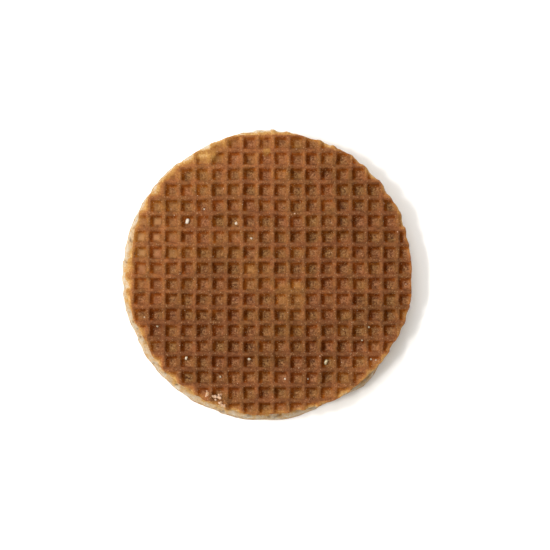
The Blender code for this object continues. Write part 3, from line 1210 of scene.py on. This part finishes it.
SUGAR = LumpKind(9, 12, 0.6, 0.40, 11, True)
CRUMBS = LumpKind(8, 10, 0.9, 0.55, 21, False)
LUMP_SPACING = 17.3  # how far apart the bodies' noise is read, so that no two are alike
LUMP_WAVES = 0.9  # the size of the noise's waves, where the body's half width is 1
GRAIN_FLATNESS = 0.8
GRAIN_LIFT = 0.35  # how far a body's middle lies above the face, as a share of its width
CRUMB_LIFT = 0.30
SLIMMEST = 0.5  # least share of a body's size that each of its widths may have
FINE_GRAIN_SIZES = (0.12 * MM, 0.27 * MM)
FINE_GRAIN_REACH = 0.95  # share of the disc's radius
FINE_GRAIN_TONES = (0.5, 1.0)
TRAIL_CRUMB_SIZES = (0.45 * MM, 1.25 * MM)
LOOSE_CRUMB_SIZES = (0.20 * MM, 0.50 * MM)
LOOSE_CRUMB_REACH = 0.96
CLUMP_SCATTER = 0.55 * MM
CRUMB_SCATTER = 0.32 * MM


def turned(points, quaternion):
    """Each body of points turned about its own origin by its unit quaternion."""
    w, x, y, z = quaternion.T
    rows = np.array([
        [1 - 2 * (y * y + z * z), 2 * (x * y - z * w), 2 * (x * z + y * w)],
        [2 * (x * y + z * w), 1 - 2 * (x * x + z * z), 2 * (y * z - x * w)],
        [2 * (x * z - y * w), 2 * (y * z + x * w), 1 - 2 * (x * x + y * y)],
    ])
    return np.einsum("ijk,kpj->kpi", rows, points)


def random_turns(count, pick):
    """As many random unit quaternions."""
    quaternion = pick.normal(size=(count, 4))
    return quaternion / np.linalg.norm(quaternion, axis=1)[:, None]


def lumps(kind, widths):
    """One small body for each row of widths, as points: a superellipsoid, its radius varied by noise.

    At angles u round and v up, the point is the signed powers of cos v cos u, cos v sin u and sin v. The
    power is the squareness: 1 gives a ball, and less gives a block with rounded edges. Two poles come last.
    """
    up = np.linspace(-0.5 * math.pi, 0.5 * math.pi, kind.rings + 2)[1:-1]
    turn = np.linspace(0.0, TURN, kind.around, endpoint=False)
    v, u = (part.ravel() for part in np.meshgrid(up, turn, indexing="ij"))
    parts = np.array([np.cos(v), np.sin(v), np.cos(u), np.sin(u)])
    cos_v, sin_v, cos_u, sin_u = np.sign(parts) * np.abs(parts) ** kind.squareness
    ball = np.column_stack([cos_v * cos_u, cos_v * sin_u, sin_v])
    ball = np.concatenate([ball, [[0.0, 0.0, -1.0], [0.0, 0.0, 1.0]]])
    offsets = np.arange(len(widths))[:, None, None] * LUMP_SPACING
    uneven = 1.0 + waves(Waves(kind.unevenness, LUMP_WAVES, 2, kind.seed + 2), ball + offsets)
    return ball * uneven[..., None] * widths[:, None, :] / 2


def place_lumps(name, kind, bodies, lift, places, tones, face):
    """One joined mesh of small bodies, each set down on the baked face with its middle lifted off it.

    Each body holds one tone from 0 to 1, which its material reads.
    """
    undrifted = places - face.wobble(places)
    height = face.disc.high_z - face.sink(undrifted)[0] + lift
    points = bodies + np.column_stack([places, height])[:, None, :]
    starts = np.arange(len(bodies))[:, None, None] * bodies.shape[1]
    quads, triangles = closed_rings(kind.rings, kind.around)
    quads = (quads + starts).reshape(-1, 4)
    triangles = (triangles + starts).reshape(-1, 3)
    attributes = {"tone": np.repeat(tones, bodies.shape[1])}
    points = swell(points.reshape(-1, 3))
    return make_mesh(name, points, quads, triangles, attributes=attributes, faceted=kind.faceted)


def scattered(count, radius, seed):
    """Places spread evenly at random over a disc: the square root of a random share is the radius."""
    pick = np.random.default_rng(seed)
    angle = pick.uniform(0.0, TURN, count)
    out = radius * np.sqrt(pick.uniform(0.0, 1.0, count))
    return rays(angle) * out[:, None]


def make_sugar(face, topping):
    """Sugar grains: the large ones at their own places, and fine ones scattered over the upper face.

    Large ones lie flat, turned about Z only. Fine ones have random widths and turns.
    """
    pick = np.random.default_rng(SUGAR.seed)
    large = np.array(LARGE_GRAINS)
    fine = scattered(topping.fine_grains, FINE_GRAIN_REACH * face.disc.radius, SUGAR.seed + 1)
    places = face.disc.centre + np.concatenate([large[:, :2], fine])
    fine_sizes = pick.uniform(*FINE_GRAIN_SIZES, (len(fine), 1))
    fine_widths = fine_sizes * pick.uniform(SLIMMEST, 1.0, (len(fine), 3))
    widths = np.concatenate([large[:, (2, 3, 2)] * (1.0, 1.0, GRAIN_FLATNESS), fine_widths])
    half_turn = np.radians(large[:, 4]) / 2
    level = np.zeros(len(large))
    lying = np.column_stack([np.cos(half_turn), level, level, np.sin(half_turn)])
    quaternions = np.concatenate([lying, random_turns(len(fine), pick)])
    tones = np.concatenate([large[:, 5], pick.uniform(*FINE_GRAIN_TONES, len(fine))])
    bodies = turned(lumps(SUGAR, widths), quaternions)
    return place_lumps("sugar_grains", SUGAR, bodies, GRAIN_LIFT * widths[:, 2], places, tones, face)


def make_crumbs(face, topping):
    """Pale crumbs in clumps along their trail, with a few more scattered over the face."""
    pick = np.random.default_rng(CRUMBS.seed)
    trail = np.array(CRUMB_TRAIL)
    clumps = pick.uniform(0.0, len(trail) - 1.0, topping.trail_clumps)
    clump_size = math.ceil(topping.trail_crumbs / topping.trail_clumps)
    along = np.repeat(clumps, clump_size)
    middle = np.column_stack([np.interp(along, np.arange(len(trail)), trail[:, axis]) for axis in range(2)])
    beside = np.repeat(pick.normal(0.0, CLUMP_SCATTER, (len(clumps), 2)), clump_size, axis=0)
    middle = middle + beside + pick.normal(0.0, CRUMB_SCATTER, middle.shape)
    loose = scattered(topping.loose_crumbs, LOOSE_CRUMB_REACH * face.disc.radius, CRUMBS.seed + 1)
    places = face.disc.centre + np.concatenate([middle, loose])
    trail_sizes = pick.uniform(*TRAIL_CRUMB_SIZES, len(middle))
    sizes = np.concatenate([trail_sizes, pick.uniform(*LOOSE_CRUMB_SIZES, len(loose))])
    widths = sizes[:, None] * pick.uniform(SLIMMEST, 1.0, (len(sizes), 3))
    tones = pick.uniform(0.0, 1.0, len(sizes))
    bodies = turned(lumps(CRUMBS, widths), random_turns(len(sizes), pick))
    return place_lumps("pale_crumbs", CRUMBS, bodies, CRUMB_LIFT * sizes, places, tones, face)


# ---------------------------------------------------------------- settings


def length_property(name, description, default):
    """A setting of one length, or of a pair of them along X and Y."""
    if isinstance(default, tuple):
        return FloatVectorProperty(
            name=name, description=description, default=default, size=2, unit="LENGTH", precision=5
        )
    return FloatProperty(name=name, description=description, default=default, unit="LENGTH", precision=5)


def strength_property(name, description, default):
    """A setting of a light's strength."""
    return FloatProperty(name=name, description=description, default=default, min=0.0)


def angle_property(name, description, degrees):
    """A setting of an angle."""
    return FloatProperty(name=name, description=description, default=math.radians(degrees), subtype="ANGLE")


def share_property(name, description, default):
    """A setting from 0 to 1."""
    return FloatProperty(name=name, description=description, default=default, min=0.0, max=1.0)


def count_property(name, description, default):
    """A setting of a whole number."""
    return IntProperty(name=name, description=description, default=default, min=0)


def colour_property(name, description, default):
    """A setting of a colour: its red, green and blue."""
    return FloatVectorProperty(
        name=name, description=description, default=default, subtype="COLOR", min=0.0, max=1.0
    )


class GridSettings(bpy.types.PropertyGroup):
    """Sizes of the baked grid, the same on both halves"""

    pitch: length_property("Pitch", "Distance from rib to rib, along X and along Y", (5.34 * MM, 5.36 * MM))
    crossing: length_property(
        "Crossing", "A crossing of two ribs, from the middle of the half", (0.97 * MM, -0.75 * MM)
    )
    rib_width: length_property("Rib width", "Flat top of a rib", 0.85 * MM)
    wall_width: length_property(
        "Wall width", "How far a pit's wall runs sideways, along X and Y", (1.25 * MM, 1.40 * MM)
    )
    wall_slant: share_property(
        "Wall slant", "How much broader the walls at -X and +Y are than those opposite", 0.20
    )
    whole_pits: share_property("Whole pits", "How far the rim's smoothing takes in whole pits", 0.30)
    wall_rounding: share_property("Wall rounding", "How rounded a wall's top and foot are", 0.22)
    raggedness: length_property("Raggedness", "How far a wall's edges wander", 0.17 * MM)
    pit_depth: length_property("Pit depth", "Depth of a pit at the middle", 2.15 * MM)
    shallower_at_edge: length_property(
        "Shallower at edge", "How much less deep a pit is at the rim", 0.25 * MM
    )
    cross_rib_drop: length_property(
        "Cross rib drop", "How much lower the ribs along X lie than those along Y", 0.14 * MM
    )
    cross_rib_browning: share_property("Cross rib browning", "How much browner the ribs along X baked", 0.09)
    undercut: length_property(
        "Undercut", "How far the side leans in from the baked face to the cut face", 1.0 * MM
    )
    drawn_in_breadth: length_property(
        "Drawn-in breadth", "Band at the rim that follows the leaning side", 2.2 * MM
    )
    edge_rounding: length_property("Edge rounding", "Breadth of the rounded rim", 0.8 * MM)
    edge_drop: length_property("Edge drop", "How far the rounded rim sinks", 0.22 * MM)
    crust_thickness: length_property(
        "Crust thickness", "How deep the browned crust shows on the side", 0.55 * MM
    )
    ledge_step: length_property("Ledge step", "Width of a row on the cut face", 0.42 * MM)
    steps: count_property("Steps", "Grid lines in a cell", 16)
    side_rows: count_property("Side rows", "Rows of faces down the side", 12)
    rib_focus: share_property("Rib focus", "How much the grid lines draw together at the ribs", 0.25)


class SyrupSettings(bpy.types.PropertyGroup):
    """Sizes of the syrup layer"""

    bulge: length_property("Bulge", "How far the band bulges out", 0.45 * MM)
    overlap: length_property("Overlap", "How far it sinks into each half", 0.12 * MM)
    points_round: count_property("Points round", "Points in a turn", 900)
    points_up: count_property("Points up", "Points up the band", 11)


class ToppingSettings(bpy.types.PropertyGroup):
    """How many fine grains and crumbs lie on the upper face"""

    fine_grains: count_property("Fine grains", "Fine sugar grains", 90)
    trail_clumps: count_property("Trail clumps", "Clumps of crumbs in the trail", 11)
    trail_crumbs: count_property("Trail crumbs", "Crumbs in the trail", 44)
    loose_crumbs: count_property("Loose crumbs", "Crumbs over the face", 40)


class LookSettings(bpy.types.PropertyGroup):
    """Colours of every finish"""

    crumb_colour: colour_property("Crumb", "Unbrowned crumb of the cut edge", (0.53, 0.455, 0.350))
    pale_gold_colour: colour_property("Pale gold", "Least baked crust", (0.50, 0.285, 0.090))
    gold_colour: colour_property("Gold", "Lightly baked crust", (0.350, 0.158, 0.040))
    pale_rib_colour: colour_property("Pale rib", "Paler crust on the ribs", (0.264, 0.0965, 0.0275))
    rib_colour: colour_property("Rib", "Well baked crust on the ribs", (0.186, 0.0655, 0.0188))
    dark_colour: colour_property("Dark", "Darkest crust", (0.103, 0.032, 0.0078))
    floor_tint: colour_property(
        "Floor tint", "What the pit floors' colour is multiplied by", (0.57, 0.50, 0.45)
    )
    mottling_colour: colour_property("Mottling", "Pale mottling of the pit floors", (0.35, 0.165, 0.070))
    # Painted shade: darkens and reddens the pits beside their walls at -X and +Y, in place of their shadow
    painted_shade_tint: colour_property(
        "Painted shade tint", "What the colour by the darker walls is multiplied by", (1.00, 0.72, 0.37)
    )
    pink_tint: colour_property(
        "Pink tint", "What the pinkish pits' colour is multiplied by", (1.00, 0.91, 0.90)
    )
    olive_tint: colour_property(
        "Olive tint", "What the olive pits' colour is multiplied by", (0.93, 1.00, 0.80)
    )
    # Partly the crust's own pale flecks, partly painted glints
    speck_and_glint_colour: colour_property("Specks and glints", "Fine pale specks of the crust", (0.44, 0.26, 0.130))
    # Painted shade of the crumb's pores and steam holes
    pore_shade_colour: colour_property(
        "Pore shade", "What the pores of the crumb are multiplied by", (0.42, 0.34, 0.24)
    )
    syrup_colour: colour_property("Syrup", "Thick syrup", (0.16, 0.042, 0.008))
    thin_syrup_colour: colour_property("Thin syrup", "Syrup where it is thin", (0.30, 0.095, 0.016))
    sugar_colour: colour_property("Sugar", "Clear side of a sugar grain", (0.56, 0.49, 0.40))
    cloudy_sugar_colour: colour_property("Cloudy sugar", "Cloudy side of a sugar grain", (0.33, 0.25, 0.115))
    crumb_light_colour: colour_property("Light crumb", "Light side of a loose crumb", (0.62, 0.42, 0.29))
    crumb_tan_colour: colour_property("Tan crumb", "Tan side of a loose crumb", (0.42, 0.24, 0.12))
    floor_colour: colour_property("Floor", "The card under the waffle", (0.95, 0.95, 0.95))


class StageSettings(bpy.types.PropertyGroup):
    """The floor, the light and the camera"""

    floor_size: length_property("Floor size", "Side of the square floor", 12.0)
    view_width: length_property("View width", "What the camera sees across at the top of the waffle", 0.1884)
    camera_shift: length_property(
        "Camera place", "Where the camera stands over the base", (2.79 * MM, -0.14 * MM)
    )
    lens: FloatProperty(name="Lens", description="Focal length in millimetres", default=135.0)
    key_direction: angle_property("Key direction", "Where the main light stands, round from +X", 181.0)
    key_spread: angle_property("Key spread", "How far each half of the main light stands to its side", 16.0)
    key_elevation: angle_property("Key elevation", "How high the main light stands", 51.5)
    key_distance: length_property("Key distance", "How far off the main light stands", 0.50)
    key_size: length_property("Key size", "Width and height of the main light", (0.09, 0.08))
    key_strength: strength_property("Key strength", "Light that the main light gives", 3.12)
    key_colour: colour_property("Key colour", "Colour of the main light", (1.0, 0.985, 0.955))
    fill_direction: angle_property("Fill direction", "Where the second light stands, round from +X", 88.0)
    fill_elevation: angle_property("Fill elevation", "How high the second light stands", 47.0)
    fill_distance: length_property("Fill distance", "How far off the second light stands", 0.35)
    fill_size: length_property("Fill size", "Width and height of the second light", (0.24, 0.24))
    fill_strength: strength_property("Fill strength", "Light that the second light gives", 1.30)
    fill_colour: colour_property("Fill colour", "Colour of the second light", (1.0, 1.0, 1.0))
    skirt_direction: angle_property(
        "Skirt direction", "Where the broad soft light stands, round from +X", 178.0
    )
    skirt_elevation: angle_property("Skirt elevation", "How high the broad soft light stands", 70.0)
    skirt_distance: length_property("Skirt distance", "How far off the broad soft light stands", 1.2)
    skirt_size: length_property("Skirt size", "Width and height of the broad soft light", (1.7, 1.7))
    skirt_strength: strength_property("Skirt strength", "Light that the soft light gives", 1.3)
    skirt_colour: colour_property("Skirt colour", "Colour of the broad soft light", (1.0, 1.0, 1.0))
    sky_colour: colour_property("Sky colour", "Colour of the light all round", (1.0, 0.935, 0.84))
    sky_strength: strength_property("Sky strength", "Strength of the light overhead", 0.35)
    horizon_strength: strength_property("Horizon strength", "Strength at the horizon", 1.28)


# ---------------------------------------------------------------- floor, lights and camera


def make_floor(stage, look):
    """A square floor at the height that the waffle rests on, as a grid of two parameters."""
    steps = np.linspace(-0.5, 0.5, FLOOR_LINES) * stage.floor_size
    x, y = np.meshgrid(steps, steps, indexing="ij")
    points = np.stack([x, y, np.zeros_like(x)], axis=-1).reshape(-1, 3)
    quads = cell_corners(np.arange(x.size).reshape(x.shape)).reshape(-1, 4)
    floor = make_mesh("floor", points, quads)
    floor.data.materials.append(floor_material(look))


def light_settings(stage, name):
    """The settings of one light, by the names that make_light takes."""
    parts = ("direction", "elevation", "distance", "size", "strength", "colour")
    return {part: getattr(stage, f"{name}_{part}") for part in parts}


def make_light(name, direction, elevation, distance, size, strength, colour):
    """One soft light: a rectangle that faces the waffle, whose power gives it that strength there."""
    flat = math.cos(elevation)
    towards = Vector((flat * math.cos(direction), flat * math.sin(direction), math.sin(elevation)))
    panel = bpy.data.lights.new(name, "AREA")
    panel.shape = "RECTANGLE"
    panel.size, panel.size_y = size
    panel.energy = strength * math.pi * distance**2
    panel.color = colour
    light = bpy.data.objects.new(name, panel)
    light.rotation_euler = towards.to_track_quat("Z", "Y").to_euler()
    light.location = towards * distance
    bpy.context.scene.collection.objects.link(light)


def make_sky(stage):
    """Even light all round, stronger towards the horizon, where it meets the white floor."""
    world = bpy.data.worlds.new("studio")
    world.use_nodes = True
    tree = world.node_tree
    tree.nodes.clear()
    direction = add_node(tree, "ShaderNodeTexCoord").outputs["Generated"]
    height = add_node(tree, "ShaderNodeSeparateXYZ", {0: direction}).outputs["Z"]
    strength = spread(tree, height, *SKY_FADE, stage.horizon_strength, stage.sky_strength)
    background = add_node(tree, "ShaderNodeBackground", {"Color": stage.sky_colour, "Strength": strength})
    add_node(tree, "ShaderNodeOutputWorld", {"Surface": background.outputs[0]})
    bpy.context.scene.world = world


def make_camera(stage):
    """The camera straight above: its distance gives the view's width at the top of the waffle."""
    camera = bpy.data.cameras.new("camera")
    camera.lens = stage.lens
    camera.clip_start, camera.clip_end = CAMERA_RANGE
    top = CAD_BOX[1][2]
    distance = stage.view_width * camera.lens / camera.sensor_width
    piece = bpy.data.objects.new("camera", camera)
    piece.location = (*stage.camera_shift, top + distance)
    bpy.context.scene.collection.objects.link(piece)
    bpy.context.scene.camera = piece


# ---------------------------------------------------------------- operators


def upper_face(context):
    """The upper half's baked face."""
    disc = Disc("wafer_top", UPPER_BUMPS, UPPER_MOVES, UPPER_SEED)
    return Face(disc, context.scene.stroopwafel_grid, UPPER_RIM, UPPER_SPOTS)


def shared_crust(context):
    """The material of both halves, made the first time that it is asked for."""
    return bpy.data.materials.get("baked_waffle") or crust_material(context.scene.stroopwafel_look)


class STROOPWAFEL_OT_upper_half(bpy.types.Operator):
    """Build the upper waffle half, with its pits, rim and crumb side"""

    bl_idname = "stroopwafel.upper_half"
    bl_label = "Upper half"

    def execute(self, context):
        piece = make_half("upper_half", upper_face(context), True, UPPER_LEDGE_ROWS)
        finish_piece(piece, "baked_wafer", shared_crust(context), "wafer_top")
        return {"FINISHED"}


class STROOPWAFEL_OT_lower_half(bpy.types.Operator):
    """Build the lower waffle half, whose pits face down and whose crumb ledge shows at one side"""

    bl_idname = "stroopwafel.lower_half"
    bl_label = "Lower half"

    def execute(self, context):
        disc = Disc("wafer_bottom", LOWER_BUMPS, LOWER_MOVES, LOWER_SEED)
        face = Face(disc, context.scene.stroopwafel_grid, LOWER_RIM, LOWER_SPOTS)
        piece = make_half("lower_half", face, False, LOWER_LEDGE_ROWS)
        finish_piece(piece, "baked_wafer", shared_crust(context), "wafer_bottom")
        return {"FINISHED"}


class STROOPWAFEL_OT_syrup(bpy.types.Operator):
    """Build the syrup layer between the halves"""

    bl_idname = "stroopwafel.syrup"
    bl_label = "Syrup"

    def execute(self, context):
        piece = make_syrup(context.scene.stroopwafel_syrup)
        finish_piece(piece, "caramel_syrup", syrup_material(context.scene.stroopwafel_look), "syrup")
        return {"FINISHED"}


class STROOPWAFEL_OT_sugar(bpy.types.Operator):
    """Lay the sugar grains on the upper half"""

    bl_idname = "stroopwafel.sugar"
    bl_label = "Sugar grains"

    def execute(self, context):
        piece = make_sugar(upper_face(context), context.scene.stroopwafel_topping)
        finish_piece(piece, "baked_wafer", sugar_material(context.scene.stroopwafel_look))
        return {"FINISHED"}


class STROOPWAFEL_OT_crumbs(bpy.types.Operator):
    """Lay the loose crumbs on the upper half"""

    bl_idname = "stroopwafel.crumbs"
    bl_label = "Loose crumbs"

    def execute(self, context):
        piece = make_crumbs(upper_face(context), context.scene.stroopwafel_topping)
        finish_piece(piece, "baked_wafer", crumbs_material(context.scene.stroopwafel_look))
        return {"FINISHED"}


class STROOPWAFEL_OT_stage(bpy.types.Operator):
    """Set up the floor, the lights and the camera"""

    bl_idname = "stroopwafel.stage"
    bl_label = "Stage"

    def execute(self, context):
        stage = context.scene.stroopwafel_stage
        make_floor(stage, context.scene.stroopwafel_look)
        key = light_settings(stage, "key")
        middle = key.pop("direction")
        key["strength"] /= 2
        for side in (-1, 1):
            make_light("key_light", middle + side * stage.key_spread, **key)
        for name in ("fill", "skirt"):
            make_light(name + "_light", **light_settings(stage, name))
        make_sky(stage)
        make_camera(stage)
        context.scene.view_settings.view_transform = "Standard"
        return {"FINISHED"}


class STROOPWAFEL_PT_panel(bpy.types.Panel):
    """The buttons that build each piece, and their settings"""

    bl_label = "Stroopwafel"
    bl_idname = "STROOPWAFEL_PT_panel"
    bl_space_type = "VIEW_3D"
    bl_region_type = "UI"
    bl_category = "Stroopwafel"

    def draw(self, context):
        for operator in OPERATORS:
            self.layout.operator(operator.bl_idname)
        for name in SETTINGS:
            settings = getattr(context.scene, name)
            box = self.layout.box()
            box.label(text=name.replace("_", " ").capitalize())
            for label in settings.__annotations__:
                box.prop(settings, label)


SETTINGS = {
    "stroopwafel_grid": GridSettings,
    "stroopwafel_syrup": SyrupSettings,
    "stroopwafel_topping": ToppingSettings,
    "stroopwafel_look": LookSettings,
    "stroopwafel_stage": StageSettings,
}
OPERATORS = (
    STROOPWAFEL_OT_stage,
    STROOPWAFEL_OT_lower_half,
    STROOPWAFEL_OT_syrup,
    STROOPWAFEL_OT_upper_half,
    STROOPWAFEL_OT_sugar,
    STROOPWAFEL_OT_crumbs,
)
CLASSES = (*SETTINGS.values(), *OPERATORS, STROOPWAFEL_PT_panel)


def register():
    """Register every class, and hang the settings on the scene."""
    for cls in CLASSES:
        bpy.utils.register_class(cls)
    for name, cls in SETTINGS.items():
        setattr(bpy.types.Scene, name, PointerProperty(type=cls))


def unregister():
    """Take the settings and the classes away again."""
    for name in SETTINGS:
        delattr(bpy.types.Scene, name)
    for cls in reversed(CLASSES):
        bpy.utils.unregister_class(cls)


def main():
    """Register the classes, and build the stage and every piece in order."""
    register()
    bpy.ops.stroopwafel.stage()
    bpy.ops.stroopwafel.lower_half()
    bpy.ops.stroopwafel.syrup()
    bpy.ops.stroopwafel.upper_half()
    bpy.ops.stroopwafel.sugar()
    bpy.ops.stroopwafel.crumbs()


if __name__ == "__main__":
    main()
